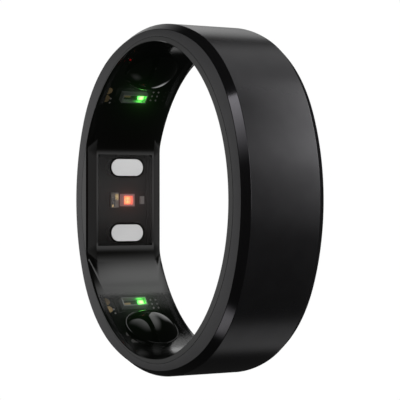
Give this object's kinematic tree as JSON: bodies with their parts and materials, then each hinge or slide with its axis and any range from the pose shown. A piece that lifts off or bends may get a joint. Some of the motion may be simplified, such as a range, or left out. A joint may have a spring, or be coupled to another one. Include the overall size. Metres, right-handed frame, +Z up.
{
  "type": "smart ring",
  "caption": "Sealed finger ring with a dark chamfered metal band, a cast inner liner, domed optical lenses, a clear sensor window, charging contacts, a flexible circuit and a curved cell.",
  "frame": {"origin": "centre of the band, on the finger axis", "axes": "+Y along the finger axis from the near rim to the far rim, +Z up, sensor platform on the -X side"},
  "size_m": [0.0246, 0.0064, 0.0246],
  "materials": {
    "metal_band": "satin dark grey coating",
    "liner_resin": "polished dark resin",
    "window_clear": "tinted clear",
    "dome_clear": "polished dark lens",
    "contact_metal": "fine matte plating",
    "seal_black": "matte",
    "board": "black solder mask",
    "flex": "black cover film",
    "led_frame_red": "white moulded",
    "led_die_red": "lit die",
    "led_frame_green": "silvered",
    "led_die_green": "lit die",
    "photodiode": "polished",
    "chip_black": "moulded",
    "chip_metal": "plated lid",
    "chip_ceramic": "ceramic",
    "gold": "gold plated",
    "cell_foil": "foil",
    "film": "amber film",
    "nickel": "strip"
  },
  "bodies": {
    "root": {"outer_shell": "metal_band", "inner_liner": "liner_resin", "sensor_window": "window_clear", "dome_lens_upper": "dome_clear", "dome_lens_lower": "dome_clear", "charge_contact_upper": "contact_metal", "charge_contact_lower": "contact_metal", "contact_seals": "seal_black", "sensor_board": "board", "board_spacers": "board", "red_ir_led": "led_frame_red", "red_ir_dies": "led_die_red", "middle_photodiode": "photodiode", "green_led_upper": "led_frame_green", "green_led_lower": "led_frame_green", "green_die_upper": "led_die_green", "green_die_lower": "led_die_green", "photodiode_upper": "photodiode", "photodiode_lower": "photodiode", "flex_circuit": "flex", "bluetooth_chip": "chip_black", "power_chip": "chip_black", "memory_chip": "chip_black", "motion_sensor": "chip_black", "timing_crystal": "chip_metal", "chip_antenna": "chip_ceramic", "temperature_sensor": "chip_black", "passives": "chip_ceramic", "test_pads": "gold", "battery_cell": "cell_foil", "battery_tape": "film", "battery_tabs": "nickel", "protection_chip": "chip_black"}
  },
  "joints": []
}
